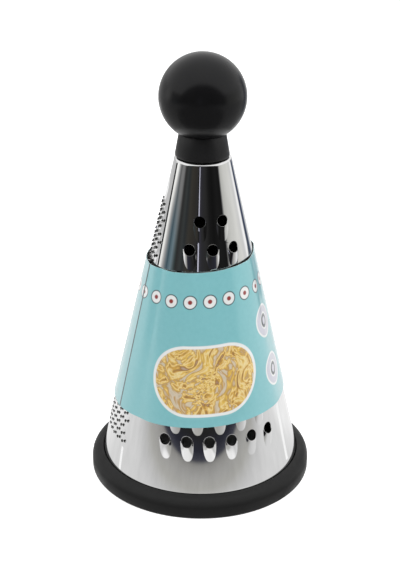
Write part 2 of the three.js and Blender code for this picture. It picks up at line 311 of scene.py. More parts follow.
# %% Fine stamp
FINE_HALF_PITCH, FINE_ROW = 2.69, 3.765
BURR_PLACE = Vector((1.1, 0.45, 0))
FLAP_TIP, SPLIT_END = (0.82, 0.38), (1.0, 0.02)
HINGE, CORNER, SWELL = 0.9, 1.04, 0.04
HALF_OUTLINE = ((1, 0), (0.5, 0.5), (0, 1), (0, 0.5), (0, 0), (0, -0.5), (0, -1), (0.5, -0.5))


def ray_at(turn, radius, rise):
    turn = radians(turn)
    return BURR_PLACE + Vector((radius * cos(turn), radius * sin(turn), rise))


def at_corner(turn):
    return round(turn / 45) % 2 == 1


def flap_place(turn):
    return ray_at(turn, *(SPLIT_END if at_corner(turn) else FLAP_TIP))


def hinge_place(turn):
    return ray_at(turn, CORNER if at_corner(turn) else HINGE, SWELL)


def half_edge(turn):
    x, y = HALF_OUTLINE[round(turn / 45) % 8]
    return Vector((x * FINE_HALF_PITCH, y * FINE_ROW, 0))


half = bmesh.new()
ring = first_ring(half, 8, flap_place)
ring = next_ring(half, ring, hinge_place)
next_ring(half, ring, half_edge)
half_mesh = mesh_from(half, "fine_half")

fine = bmesh.new()
for copy in range(2):
    bmesh.ops.rotate(fine, verts=fine.verts, matrix=Matrix.Rotation(pi, 3, "Z"))
    fine.from_mesh(half_mesh)
bmesh.ops.remove_doubles(fine, verts=fine.verts, dist=0.01)
fine_stamp = mesh_from(fine, "fine_stamp")

plain = bmesh.new()
bmesh.ops.create_grid(plain, x_segments=2, y_segments=2, size=1)
for v in plain.verts:
    v.co = ((v.co.x - v.co.y) / 2 * FINE_HALF_PITCH, (v.co.x + v.co.y) / 2 * FINE_ROW, 0)
fine_blank = mesh_from(plain, "fine_blank")

# %% [markdown]
# ### Three sheets
# Each zone fills a third of the wall. A line of constant azimuth is straight on the flat sheet, so
# two plane cuts trim a sheet to its third, and two more level its ends.

# %% Lay the stamps
ZONE_AZIMUTHS = {"coarse": 13, "fine": -107, "slicer": 133}
SHEET_HALF_ANGLE = 59.5
SHEET_LOW, SHEET_HIGH = 21.2, 160.6
COARSE_FIRST, COARSE_ROWS, COARSE_HALF_ANGLE = 35.82, 9, 36.6
FINE_FIRST, FINE_ROWS, FINE_SHIFT, FINE_LOW_ANGLE, FINE_HIGH_ANGLE = 25.14, 35, 1.3, 52.2, 46.5


def sheet_radius(y):
    """Radius of the wall at a distance up the slope."""
    return STEEL_FOOT_RADIUS - y * sin(SLOPE)


def along_wall(angle, y):
    """Length of an angle at a distance up the slope."""
    return radians(angle) * sheet_radius(y)


def cut(sheet, place, outward, clear=True):
    """Cuts a sheet along a plane, and clears what lies beyond it."""
    everything = sheet.verts[:] + sheet.edges[:] + sheet.faces[:]
    bmesh.ops.bisect_plane(sheet, geom=everything, dist=0.02, plane_co=place, plane_no=outward,
                           clear_outer=clear)


def trim(sheet):
    bmesh.ops.remove_doubles(sheet, verts=sheet.verts, dist=0.01)
    reach = radians(SHEET_HALF_ANGLE)
    for side in (-1, 1):
        cut(sheet, (side * reach * STEEL_FOOT_RADIUS, 0, 0), (side, reach * sin(SLOPE), 0))
    cut(sheet, (0, SHEET_LOW, 0), (0, -1, 0))
    cut(sheet, (0, SHEET_HIGH, 0), (0, 1, 0))


coarse_sheet = bmesh.new()
for row in range(-1, COARSE_ROWS + 1):
    y = COARSE_FIRST + row * COARSE_ROW
    for column in range(-6, 7):
        x = (column + 0.5 * (row % 2 == 0)) * COARSE_PITCH
        inside = abs(x) <= along_wall(COARSE_HALF_ANGLE, y)
        punched = inside and 0 <= row < COARSE_ROWS
        depth = TOP_ROW_DEPTH if row == COARSE_ROWS - 1 else 1
        lay(coarse_sheet, coarse_stamp if punched else coarse_blank, x, y, depth)
trim(coarse_sheet)

fine_sheet = bmesh.new()
for row in range(-2, FINE_ROWS + 3):
    y = FINE_FIRST + row * FINE_ROW
    widest = along_wall(SHEET_HALF_ANGLE, y) + 3 * FINE_HALF_PITCH
    half_angle = FINE_LOW_ANGLE + (FINE_HIGH_ANGLE - FINE_LOW_ANGLE) * row / FINE_ROWS
    for column in range(-13, 14):
        x = FINE_SHIFT + (2 * column + row % 2) * FINE_HALF_PITCH
        inside = abs(x) <= along_wall(half_angle, y)
        if abs(x) < widest:
            lay(fine_sheet, fine_stamp if inside and 0 <= row < FINE_ROWS else fine_blank, x, y)
trim(fine_sheet)
print("coarse sheet", len(coarse_sheet.faces), "fine sheet", len(fine_sheet.faces))

# %% [markdown]
# ### The slicing sheet
# The third zone is turned away from the camera. Such graters have wide slots there, each with a
# raised blade below it. A plain grid is cut along the slots' edges, the slots are removed and the
# metal below them is lifted.

# %% Slicing sheet
SLOT_ROWS = (42.8, 83.85, 124.9)
SLOT_HALF_ANGLE, SLOT_HALF_HEIGHT = 24, 1.6
BLADE_REACH, BLADE_RISE, BLADE_END = 8, 1.0, 3.0
SLICER_WIDTH, SPARE_HEIGHT = 120, 4
TOP_OF_RAMP = 1 - 0.9 * SLOT_HALF_HEIGHT / BLADE_REACH

slicer_sheet = bmesh.new()
bmesh.ops.create_grid(slicer_sheet, x_segments=60, y_segments=20, size=0.5)
bmesh.ops.scale(slicer_sheet, verts=slicer_sheet.verts,
                vec=(SLICER_WIDTH, SHEET_HIGH - SHEET_LOW + SPARE_HEIGHT, 1))
bmesh.ops.translate(slicer_sheet, verts=slicer_sheet.verts, vec=(0, (SHEET_LOW + SHEET_HIGH) / 2, 0))
for y in SLOT_ROWS:
    half_length = along_wall(SLOT_HALF_ANGLE, y)
    for line in (y - BLADE_REACH, y - BLADE_REACH / 2, y - SLOT_HALF_HEIGHT, y + SLOT_HALF_HEIGHT):
        cut(slicer_sheet, (0, line, 0), (0, 1, 0), clear=False)
    for line in (half_length, half_length - BLADE_END / 2, half_length - BLADE_END):
        cut(slicer_sheet, (line, 0, 0), (1, 0, 0), clear=False)
        cut(slicer_sheet, (-line, 0, 0), (1, 0, 0), clear=False)
for y in SLOT_ROWS:
    half_length = along_wall(SLOT_HALF_ANGLE, y)
    middle = [(f, f.calc_center_median()) for f in slicer_sheet.faces]
    slot = [f for f, c in middle if abs(c.x) < half_length and abs(c.y - y) < SLOT_HALF_HEIGHT]
    bmesh.ops.delete(slicer_sheet, geom=slot, context="FACES")
    for v in slicer_sheet.verts:
        ramp = (v.co.y - y + BLADE_REACH) / BLADE_REACH
        if 0 < ramp < TOP_OF_RAMP and abs(v.co.x) < half_length:
            v.co.z = BLADE_RISE * ramp * ease((half_length - abs(v.co.x)) / BLADE_END)
trim(slicer_sheet)
print("slicing sheet", len(slicer_sheet.faces))

# %% [markdown]
# ### Roll and join
# Rolling is a plain change of coordinates. The three rolled sheets end one degree apart, and bridged
# strips close those gaps. The rings of edges at the two ends are then extruded, down to the foot and
# up round the shoulder to the flat top with its screw hole.

# %% Roll the sheets
SEAM_REACH, SEAM_LEAN = 0.8, 0.04

wall = bmesh.new()
for zone, sheet in (("coarse", coarse_sheet), ("fine", fine_sheet), ("slicer", slicer_sheet)):
    for v in sheet.verts:
        radius = sheet_radius(v.co.y)
        azimuth = ZONE_AZIMUTHS[zone] + degrees(v.co.x / radius)
        z = STEEL_FOOT_Z + v.co.y * cos(SLOPE) + v.co.z * sin(SLOPE)
        v.co = around(radius + v.co.z * cos(SLOPE), azimuth, z)
    wall.from_mesh(mesh_from(sheet, zone + "_sheet"))
for zone in ZONE_AZIMUTHS.values():
    seam = zone + 60
    rails = []
    for edge in wall.edges:
        turns = [turn_from(azimuth_of(v.co), seam) for v in edge.verts]
        upright = abs(turns[0] - turns[1]) < SEAM_LEAN
        if edge.is_boundary and upright and max(map(abs, turns)) < SEAM_REACH:
            rails.append(edge)
    strip = bmesh.ops.bridge_loops(wall, edges=rails)
    print("seam at", seam, "closed with", len(strip["faces"]), "faces")

# %% Foot, shoulder and flat top
SHOULDER, SHOULDER_STEPS = 1.5, 9
TOP_RING, SCREW_HOLE = 8, 2.8


def end_ring(bm, z):
    """The open ring of edges at a height."""
    return [e for e in bm.edges if e.is_boundary and all(abs(v.co.z - z * MM) < 2e-5 for v in e.verts)]


def carry(bm, edges, radius, z):
    """Extrudes a ring of edges to a new radius and height, each point at its own azimuth."""
    return extruded(bm, edges, lambda v: around(radius, azimuth_of(v.co), z))


carry(wall, end_ring(wall, STEEL_FOOT_Z + SHEET_LOW * cos(SLOPE)), STEEL_FOOT_RADIUS, STEEL_FOOT_Z)
bend_z = STEEL_TOP_Z - SHOULDER
bend_radius = wall_radius(bend_z) - SHOULDER / cos(SLOPE)
ring = end_ring(wall, STEEL_FOOT_Z + SHEET_HIGH * cos(SLOPE))
for radius, z in arc((bend_radius, bend_z), SHOULDER, degrees(SLOPE), 90, SHOULDER_STEPS):
    ring = carry(wall, ring, radius, z)
ring = carry(wall, ring, TOP_RING, STEEL_TOP_Z)
carry(wall, ring, SCREW_HOLE, STEEL_TOP_Z)
bmesh.ops.recalc_face_normals(wall, faces=wall.faces)
print("wall with its foot and top", len(wall.faces), "faces")

# %% [markdown]
# ### A crease and a set-back panel
# Rolling has left a straight crease along the upper wall, where the burrs end. Planes parallel to the
# axis cut its edges and its middle, and the points between them are pressed in. To the left of it, the
# upper wall of the fine zone is set back a little, so that its burrs stand higher.

# %% Crease
CREASE_AZIMUTH, CREASE_START = -53.7, 118
CREASE_LEFT, CREASE_RIGHT, CREASE_DEPTH = -1.1, 0.2, 0.6
SET_BACK, SET_BACK_FROM, SET_BACK_FULL = 0.85, 62, 116
SET_BACK_WIDTH, SET_BACK_TURN, MOST_KEPT, FLAT_TOP = 120, 30, 0.8, 10

crease_turn, crease_end = radians(CREASE_AZIMUTH), bend_z + SHOULDER * sin(SLOPE) + 0.01
crease_outward = Vector((sin(crease_turn), -cos(crease_turn), 0))
crease_sideways = Vector((cos(crease_turn), sin(crease_turn), 0))


def crease_share(place):
    """1 on the middle line of the crease, and 0 at its edges and beyond."""
    if place.dot(crease_outward) < 0 or not CREASE_START * MM < place.z < crease_end * MM:
        return 0
    sideways = place.dot(crease_sideways) / MM
    return max(0, 1 - sideways / (CREASE_LEFT if sideways < 0 else CREASE_RIGHT))


def set_back(place):
    """How far the wall is set back, less for what stands off it."""
    turn = -turn_from(azimuth_of(place), CREASE_AZIMUTH)
    sides = ease(turn / SET_BACK_TURN) * ease((SET_BACK_WIDTH - turn) / SET_BACK_TURN)
    height = ease((place.z / MM - SET_BACK_FROM) / (SET_BACK_FULL - SET_BACK_FROM))
    off = hypot(place.x, place.y) / MM - wall_radius(place.z / MM)
    return SET_BACK * sides * height * (1 - min(MOST_KEPT, max(0, 2 * off)))


def by_the_crease(place):
    return place.dot(crease_outward) > 0 and (CREASE_START - 10) * MM < place.z < bend_z * MM


def cone_normal(place):
    turn = radians(azimuth_of(place))
    level = cos(SLOPE)
    return Vector((level * sin(turn), -level * cos(turn), sin(SLOPE)))


for offset in (CREASE_LEFT, 0, CREASE_RIGHT):
    near = [f for f in wall.faces if by_the_crease(f.calc_center_median())]
    bmesh.ops.bisect_plane(wall, geom=with_edges(near), dist=1e-6, plane_no=crease_sideways,
                           plane_co=crease_sideways * offset * MM)
pressed = [v for v in wall.verts if crease_share(v.co) > 0]
for v in pressed:
    v.co -= cone_normal(v.co) * CREASE_DEPTH * MM * crease_share(v.co)
for v in wall.verts:
    outward = Vector((v.co.x, v.co.y, 0))
    if outward.length > FLAT_TOP * MM:
        v.co -= outward.normalized() * MM * set_back(v.co)
print("crease pressed at", len(pressed), "points")

# %% Give the sheet its thickness
SHEET_THICKNESS, STEEL_SHARP = 0.4, 26
steel_cone = piece_from(wall, "steel_cone", "grater", "polished_steel", "grater_cone")
thicken(steel_cone, SHEET_THICKNESS, 1, STEEL_SHARP)

# %% [markdown]
# ### Normals of a true cone
# A mirror shows the smallest facet. The faces of the plain wall get the exact normals of a cone as
# custom normals, the crease keeps flat sides, and all other faces keep the normals of their shading.

# %% Wall normals
PLAIN_WALL, CREASE_SIDE = cos(radians(3)), 0.8

steel_mesh = steel_cone.data
normals = [Vector((0, 0, 0))] * len(steel_mesh.loops)
for face in steel_mesh.polygons:
    side = face.normal.dot(cone_normal(face.center))
    if abs(side) > PLAIN_WALL:
        for loop in face.loop_indices:
            corner = steel_mesh.vertices[steel_mesh.loops[loop].vertex_index].co
            normals[loop] = cone_normal(corner) * copysign(1, side)
    elif abs(side) > CREASE_SIDE and crease_share(face.center) > 0:
        for loop in face.loop_indices:
            normals[loop] = face.normal
steel_mesh.normals_split_custom_set(normals)
print("custom normals at", sum(n.length > 0 for n in normals), "face corners")

# %% [markdown]
# ## The rubber ring
# The ring is a moulded channel that grips the sheet's lower edge. Its section is drawn with square
# corners and spun, and the edge loops that a mould rounds off are then bevelled.

# %% Rubber ring
RING_RADIUS, RING_HEIGHT, RING_FLOOR = 59.4, 11.3, 3.0
RING_LIP, RING_LIP_HEIGHT, RING_GAP = 2.4, 8.5, 0.3
TOP_ROUND, FOOT_ROUND, LIP_ROUND = 5.7, 1.2, 0.3


def groove_outer(z):
    return wall_radius(z) + RING_GAP


def groove_inner(z):
    return wall_radius(z) - SHEET_THICKNESS / cos(SLOPE) - RING_GAP


def bevel_loops(bm, corners, width, segments):
    """Rounds off the edge loops that run through profile corners."""
    for radius, z in corners:
        loop = [e for e in bm.edges if all(
            abs(hypot(v.co.x, v.co.y) - radius * MM) < 1e-5 and abs(v.co.z - z * MM) < 1e-5
            for v in e.verts)]
        bmesh.ops.bevel(bm, geom=loop, offset=width * MM, offset_type="OFFSET", affect="EDGES",
                        segments=segments, profile=0.5, material=-1)


ring_section = [
    (groove_inner(RING_FLOOR) - RING_LIP, 0), (RING_RADIUS, 0), (RING_RADIUS, RING_HEIGHT),
    (groove_outer(RING_HEIGHT), RING_HEIGHT), (groove_outer(RING_FLOOR), RING_FLOOR),
    (groove_inner(RING_FLOOR), RING_FLOOR), (groove_inner(RING_LIP_HEIGHT), RING_LIP_HEIGHT),
    (groove_inner(RING_LIP_HEIGHT) - RING_LIP, RING_LIP_HEIGHT),
]
ring_mesh = turned(ring_section, 128)
bevel_loops(ring_mesh, [(RING_RADIUS, RING_HEIGHT)], TOP_ROUND, 12)
bevel_loops(ring_mesh, [(RING_RADIUS, 0)], FOOT_ROUND, 4)
bevel_loops(ring_mesh, [ring_section[corner] for corner in (3, 6, 7, 0)], LIP_ROUND, 3)
crisp(ring_mesh, 40)
rubber_ring = piece_from(ring_mesh, "rubber_ring", "grater", "base_rubber", "base_ring")

# %% [markdown]
# ## Collar and ball
# Both are moulded and smooth. The collar's sides flare a little, it is hollow below, and its top is
# dished to seat the ball. The ball has a flat and a bore underneath for a threaded insert.

# %% Collar
BALL_RADIUS, BALL_Z = 21.95, 206.65
COLLAR_FOOT, COLLAR_TOP, COLLAR_ROUND, SEAT_ROUND = 14.05, 11.95, 1.6, 0.1
HOLLOW_INNER, HOLLOW_OUTER, HOLLOW_TOP = 5.6, 10.6, 183.3
FLAT_RADIUS, SEAT_GAP = 8, 0.03
SEAT_RADIUS = BALL_RADIUS + SEAT_GAP
BALL_FLAT_Z = BALL_Z - sqrt(BALL_RADIUS ** 2 - FLAT_RADIUS ** 2)


def angle_at(radius, ball):
    """Angle below the middle at which a ball's section has a radius."""
    return -degrees(acos(radius / ball))


seat_flat = sqrt(SEAT_RADIUS ** 2 - (BALL_Z - BALL_FLAT_Z) ** 2)
seat = arc((0, BALL_Z), SEAT_RADIUS, *[angle_at(r, SEAT_RADIUS) for r in (COLLAR_TOP, seat_flat)], 5)
collar_section = [
    (SCREW_HOLE, STEEL_TOP_Z), (HOLLOW_INNER, STEEL_TOP_Z), (HOLLOW_INNER, HOLLOW_TOP),
    (HOLLOW_OUTER, HOLLOW_TOP), (HOLLOW_OUTER, STEEL_TOP_Z), (COLLAR_FOOT, STEEL_TOP_Z),
    *seat, (SCREW_HOLE, BALL_FLAT_Z),
]
collar_mesh = turned(collar_section)
bevel_loops(collar_mesh, [(COLLAR_FOOT, STEEL_TOP_Z)], COLLAR_ROUND, 6)
bevel_loops(collar_mesh, [seat[0]], SEAT_ROUND, 2)
crisp(collar_mesh)
flared_collar = piece_from(collar_mesh, "flared_collar", "grater", "collar_plastic", "neck_collar")

# %% Ball
BORE_RADIUS, BORE_TOP = 4.5, BALL_FLAT_Z + 16
ball_section = [
    (0, BORE_TOP), (BORE_RADIUS, BORE_TOP), (BORE_RADIUS, BALL_FLAT_Z),
    *arc((0, BALL_Z), BALL_RADIUS, angle_at(FLAT_RADIUS, BALL_RADIUS), 90, 48)[:-1],
    (0, BALL_Z + BALL_RADIUS),
]
ball_mesh = turned(ball_section)
crisp(ball_mesh)
knob_ball = piece_from(ball_mesh, "knob_ball", "grater", "knob_plastic", "ball_knob")

# %% [markdown]
# ## Screw and washer
# They hold the knob from inside and show only from below. The washer is a bevelled disc. The screw's
# cross recess is cut by pushing down the faces of a cross, made by slicing the head with planes.

# %% Screw and washer
WASHER_RADIUS, WASHER_Z, WASHER_TOP, WASHER_ROUND = 8, 174.9, 175.9, 0.15
HEAD_RADIUS, HEAD_Z, SHANK_RADIUS = 4.6, 171.7, 2.5
SHANK_TOP, SCREW_ROUND = BALL_FLAT_Z + 14 - SHANK_RADIUS, 0.8
CROSS_HALF_WIDTH, CROSS_HALF_LENGTH, CROSS_DEPTH = 0.55, 2.7, 1.6

washer_mesh = turned([
    (SCREW_HOLE, WASHER_Z), (WASHER_RADIUS, WASHER_Z),
    (WASHER_RADIUS, WASHER_TOP), (SCREW_HOLE, WASHER_TOP)], 64)
bevel_loops(washer_mesh, [(WASHER_RADIUS, WASHER_Z), (SCREW_HOLE, WASHER_Z)], WASHER_ROUND, 2)
crisp(washer_mesh)
top_washer = piece_from(washer_mesh, "top_washer", "grater", "fastener_steel", "screw_washer")

screw_mesh = turned([
    (0, HEAD_Z), (HEAD_RADIUS, HEAD_Z), (HEAD_RADIUS, WASHER_Z), (SHANK_RADIUS, WASHER_Z),
    (SHANK_RADIUS, SHANK_TOP), (0, SHANK_TOP)], 64)
bevel_loops(screw_mesh, [(HEAD_RADIUS, HEAD_Z)], SCREW_ROUND, 4)
bevel_loops(screw_mesh, [(SHANK_RADIUS, SHANK_TOP)], SCREW_ROUND, 2)


def head_faces():
    """The faces of the head's flat end."""
    return [f for f in screw_mesh.faces if f.calc_center_median().z < (HEAD_Z + 0.01) * MM]


for across in ((1, 0, 0), (0, 1, 0)):
    for offset in (CROSS_HALF_WIDTH, -CROSS_HALF_WIDTH, CROSS_HALF_LENGTH, -CROSS_HALF_LENGTH):
        bmesh.ops.bisect_plane(screw_mesh, geom=with_edges(head_faces()), dist=1e-7,
                               plane_no=across, plane_co=Vector(across) * offset * MM)
recess = []
for face in head_faces():
    c = face.calc_center_median()
    narrow, long = sorted((abs(c.x) / MM, abs(c.y) / MM))
    if narrow < CROSS_HALF_WIDTH and long < CROSS_HALF_LENGTH:
        recess.append(face)
pushed = bmesh.ops.extrude_face_region(screw_mesh, geom=recess)["geom"]
bmesh.ops.translate(screw_mesh, vec=(0, 0, CROSS_DEPTH * MM),
                    verts=[v for v in pushed if isinstance(v, bmesh.types.BMVert)])
bmesh.ops.delete(screw_mesh, geom=recess, context="FACES_ONLY")
bmesh.ops.recalc_face_normals(screw_mesh, faces=screw_mesh.faces)
crisp(screw_mesh)
top_screw = piece_from(screw_mesh, "top_screw", "grater", "fastener_steel", "knob_screw")

# %% [markdown]
# ## The card sleeve
# A printed card blank was folded flat, glued and slipped over the cone, a little askew. It lies close
# to the steel where the wall is plain, stands off where lips are punched, and keeps two sharp folds.
# The outside is modelled as one sheet of quads, and a solidify modifier gives the card its thickness,
# with the bare cut edge and the uncoated back as materials of their own.

# %% Sleeve
CARD_THICKNESS, CARD_GAP = 0.4, 0.3
SLEEVE_FOOT, SLEEVE_TOP, SLEEVE_TILT = 46.6, 124.5, 2.1
FOLDS, FOLD_RISE, FOLD_SPREAD = (-64.4, 115.6), 0.7, 9
SLEEVE_SIDES, SLEEVE_LEVELS, FALL_OFF = 180, 10, 18
RAISED = (("coarse", 1.0, 43.8), ("fine", 0.6, 51), ("slicer", BLADE_RISE, SLOT_HALF_ANGLE))


def apart(azimuth, other):
    return abs(turn_from(azimuth, other))


def stand_off(azimuth):
    """Distance of the card's inside from the steel, measured level."""
    lifts = []
    for zone, rise, half_angle in RAISED:
        beyond = apart(azimuth, ZONE_AZIMUTHS[zone]) - half_angle
        lifts.append(rise * (1 - ease(beyond / FALL_OFF)))
    ridge = FOLD_RISE * exp(-min(apart(azimuth, fold) for fold in FOLDS) / FOLD_SPREAD)
    return CARD_GAP + max(lifts) / cos(SLOPE) + ridge


def sleeve_place(azimuth, share):
    askew = SLEEVE_TILT * sin(radians(azimuth))
    z = SLEEVE_FOOT + (SLEEVE_TOP - SLEEVE_FOOT) * share + askew
    return around(wall_radius(z) + stand_off(azimuth) + CARD_THICKNESS, azimuth, z)


sleeve_mesh = bmesh.new()
band = bmesh.ops.create_circle(sleeve_mesh, segments=SLEEVE_SIDES, radius=1)["verts"]
half_side = Matrix.Rotation(pi / SLEEVE_SIDES, 3, "Z")
bmesh.ops.rotate(sleeve_mesh, verts=band, matrix=half_side)
edges = sleeve_mesh.edges[:]
for v in band:
    v.co = sleeve_place(azimuth_of(v.co), 0)
for level in range(1, SLEEVE_LEVELS + 1):
    share = level / SLEEVE_LEVELS
    edges = extruded(sleeve_mesh, edges, lambda v: sleeve_place(azimuth_of(v.co), share))
bmesh.ops.recalc_face_normals(sleeve_mesh, faces=sleeve_mesh.faces)
print("outside of the sleeve", len(sleeve_mesh.faces), "faces")

# %% [markdown]
# ### Coordinates for the print
# A print follows the card, so the sleeve gets a UV map of its own. The first number counts turns round
# the cone from the front, and the second is the distance up the card in hundreds of millimetres.

# %% Sleeve coordinates and thickness
SLEEVE_MIDDLE, CARD_SHARP = (SLEEVE_FOOT + SLEEVE_TOP) / 2, 8


def card_place(place, near):
    azimuth = near + turn_from(azimuth_of(place), near)
    z = place.z / MM - SLEEVE_TILT * sin(radians(azimuth))
    return azimuth / 360, (z - SLEEVE_MIDDLE) / cos(SLOPE) / 100


layout = sleeve_mesh.loops.layers.uv.new("card")
for face in sleeve_mesh.faces:
    near = azimuth_of(face.calc_center_median())
    for loop in face.loops:
        loop[layout].uv = card_place(loop.vert.co, near)
card_sleeve = piece_from(sleeve_mesh, "card_band", "sleeve", "sleeve_card", "card_sleeve")
thicken(card_sleeve, CARD_THICKNESS, 2, CARD_SHARP)

# %% [markdown]
# ## Finishes
# Each finish is a node material on Object coordinates, apart from the print, which follows the
# sleeve's own unrolled UV map. Values that are the same all over are set on the shader itself. The
# steel has faint upright streaks from its polishing, and the rubber is painted paler on top: painted
# light, standing in for the light that falls on its top face.

# %% Material helpers
def new_finish(name, settings):
    material = bpy.data.materials.new(name)
    material.use_nodes = True
    shader = material.node_tree.nodes["Principled BSDF"]
    for socket, value in settings.items():
        shader.inputs[socket].default_value = value
    return material, shader


def add_node(owner, kind, settings=None, **options):
    """Adds a node to a material or a world, or beside another node of the same tree."""
    tree = getattr(owner, "node_tree", owner.id_data)
    made = tree.nodes.new("ShaderNode" + kind)
    for option, value in options.items():
        setattr(made, option, value)
    for socket, value in (settings or {}).items():
        made.inputs[socket].default_value = value
    return made


def wire(source, target):
    target.id_data.links.new(source, target)


def place_on(owner):
    return add_node(owner, "TexCoord").outputs["Object"]


def noise_on(owner, scale, place=None):
    noise = add_node(owner, "TexNoise", {"Scale": scale, "Detail": 3})
    wire(place or place_on(owner), noise.inputs["Vector"])
    return noise.outputs["Fac"]


def mapped(value, start, end, low, high):
    """Maps a value between start and end onto a range."""
    made = add_node(value, "MapRange", {1: start, 2: end, 3: low, 4: high})
    wire(value, made.inputs[0])
    return made.outputs[0]


def spread(noise, low, high):
    """Maps a noise, most of which lies from 0.3 to 0.7, onto a range."""
    return mapped(noise, 0.3, 0.7, low, high)


def worn(shader, scale, low, high):
    """Lets the roughness vary in soft patches."""
    wire(spread(noise_on(shader, scale), low, high), shader.inputs["Roughness"])


def grained(shader, scale, strength, distance):
    """Gives a surface a fine grain."""
    bump = add_node(shader, "Bump", {"Strength": strength, "Distance": distance})
    wire(noise_on(shader, scale), bump.inputs["Height"])
    wire(bump.outputs["Normal"], shader.inputs["Normal"])


def metal(name, colour, scale, low, high):
    material, shader = new_finish(name, {"Base Color": (*colour, 1), "Metallic": 1})
    worn(shader, scale, low, high)
    return material


def dress(piece, *materials):
    slots = piece.data.materials
    while len(slots) < len(materials):
        slots.append(None)
    for number, material in enumerate(materials):
        slots[number] = material
    print(piece.name, "wears", [m.name for m in materials])


# %% Polished steel
steel, shader = new_finish("polished_steel", {"Metallic": 1})
brushed = add_node(steel, "Mapping", {"Scale": (1, 1, 0.02)})
wire(place_on(steel), brushed.inputs[0])
wire(spread(noise_on(steel, 260, brushed.outputs[0]), 0.765, 0.83), shader.inputs["Base Color"])
worn(shader, 60, 0.02, 0.05)
# The back of the sheet is painted nearly black: painted shade, so that the insides of the holes and the
# gaps under the burrs stay dark.
dress(steel_cone, steel, metal("inner_steel", (0.09, 0.09, 0.085), 200, 0.45, 0.6))

# %% Rubber, plastic, brass and zinc
rubber, shader = new_finish("ring_rubber", {"Specular IOR Level": 0.12})
# Painted light: the ring's base colour is darker low down and paler on top, standing in for the light
# that falls on its top face.
height = add_node(rubber, "SeparateXYZ")
wire(place_on(rubber), height.inputs[0])
wire(mapped(height.outputs["Z"], 0.0064, 0.0084, 0.0085, 0.021), shader.inputs["Base Color"])
worn(shader, 90, 0.4, 0.55)
grained(shader, 2500, 0.15, 0.0002)
dress(rubber_ring, rubber)

soft_touch, shader = new_finish("soft_touch_black", {
    "Base Color": (0.006, 0.006, 0.0065, 1), "Specular IOR Level": 0.26})
worn(shader, 40, 0.22, 0.28)
grained(shader, 4000, 0.08, 0.0001)
dress(knob_ball, soft_touch)

collar_black, shader = new_finish("collar_black", {
    "Base Color": (0.0105, 0.0105, 0.011, 1), "Specular IOR Level": 0.3})
worn(shader, 60, 0.34, 0.44)
grained(shader, 3000, 0.1, 0.0001)
dress(flared_collar, collar_black)

dress(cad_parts["knob_insert"], metal("insert_brass", (0.6, 0.42, 0.18), 900, 0.25, 0.45))
zinc = metal("zinc_plate", (0.55, 0.56, 0.57), 600, 0.22, 0.4)
dress(top_screw, zinc)
dress(top_washer, zinc)

# %% [markdown]
# ### The print
# The sleeve is printed in teal with a generic design: a marbled gold capsule with a white border, a
# row of white rosettes and two pale roundels, once on each side. Each shape is a distance measured on
# the card, and a narrow ramp turns it into a mask with a clean edge, so that no picture file is needed.

# %% Print helpers
def feed(socket, value):
    """Wires a socket to another, or sets it to a number or a colour."""
    if isinstance(value, bpy.types.NodeSocket):
        wire(value, socket)
    else:
        socket.default_value = value


def calc(operation, first, *others):
    made = add_node(first, "Math", operation=operation)
    for socket, value in zip(made.inputs, (first, *others)):
        feed(socket, value)
    return made.outputs[0]


def within(distance, edge, soft=0.002):
    """1 inside an outline and 0 outside."""
    return mapped(distance, edge - soft, edge + soft, 1.0, 0.0)


def ink_over(below, where, ink):
    """Lays an ink, a colour or a socket, over what is below."""
    mix = add_node(where, "Mix", data_type="RGBA")
    for number, value in ((0, where), (6, below), (7, ink)):
        feed(mix.inputs[number], value)
    return mix.outputs[2]


def length_of(across, up):
    squares = calc("MULTIPLY_ADD", across, across, calc("MULTIPLY", up, up))
    return calc("SQRT", squares)


# %% Printed face
TEAL, DEEP_TEAL = (0.235, 0.56, 0.595, 1), (0.22, 0.54, 0.575, 1)
WHITE, DARK = (0.86, 0.87, 0.86, 1), (0.03, 0.045, 0.06, 1)
RED, LILAC = (0.3, 0.04, 0.035, 1), (0.6, 0.6, 0.68, 1)
FOLD_LINE_DARK = (0.03, 0.08, 0.09, 1)
GOLDS = (
    (0.0, (0.1, 0.045, 0.015, 1)), (0.36, (0.2, 0.09, 0.03, 1)), (0.43, (0.55, 0.32, 0.1, 1)),
    (0.49, (0.8, 0.52, 0.1, 1)), (0.54, (0.88, 0.72, 0.36, 1)), (0.6, (0.72, 0.42, 0.08, 1)),
    (0.68, (0.36, 0.18, 0.06, 1)), (1.0, (0.7, 0.6, 0.45, 1)))
CARD_STAND_OFF = 1.7
CAPSULE_AZIMUTH, CAPSULE_LEVEL, CAPSULE_HALF_LENGTH = 4, -0.16, 0.1
CAPSULE_RIM, CAPSULE_FILL, FOLD_WIDTH, FOLD_SOFT = 0.186, 0.17, 0.006, 0.0015
ROSETTE_AZIMUTH, ROSETTE_LEVEL, ROSETTE_COUNT = 8, 0.25, 20
ROUNDEL_AZIMUTH, ROUNDEL_LEVELS = 66, (0.05, -0.22)

print_face, shader = new_finish("printed_card", {
    "Coat Weight": 1.0, "Coat Roughness": 0.1, "Coat IOR": 1.6})
card_map = add_node(print_face, "UVMap", uv_map="card")
parts = add_node(print_face, "SeparateXYZ")
wire(card_map.outputs["UV"], parts.inputs[0])
turn, up = parts.outputs[0], parts.outputs[1]
girth = calc("MULTIPLY_ADD", up, -2 * pi * sin(SLOPE),
             2 * pi * (wall_radius(SLEEVE_MIDDLE) + CARD_STAND_OFF) / 100)


def across_from(azimuth, repeats=2):
    """Distance round the card from the nearest of several evenly spaced azimuths."""
    shifted = calc("SUBTRACT", turn, azimuth / 360)
    nearest = calc("WRAP", shifted, 0.5 / repeats, -0.5 / repeats)
    return calc("MULTIPLY", nearest, girth)


def height_from(level):
    return calc("SUBTRACT", up, level)


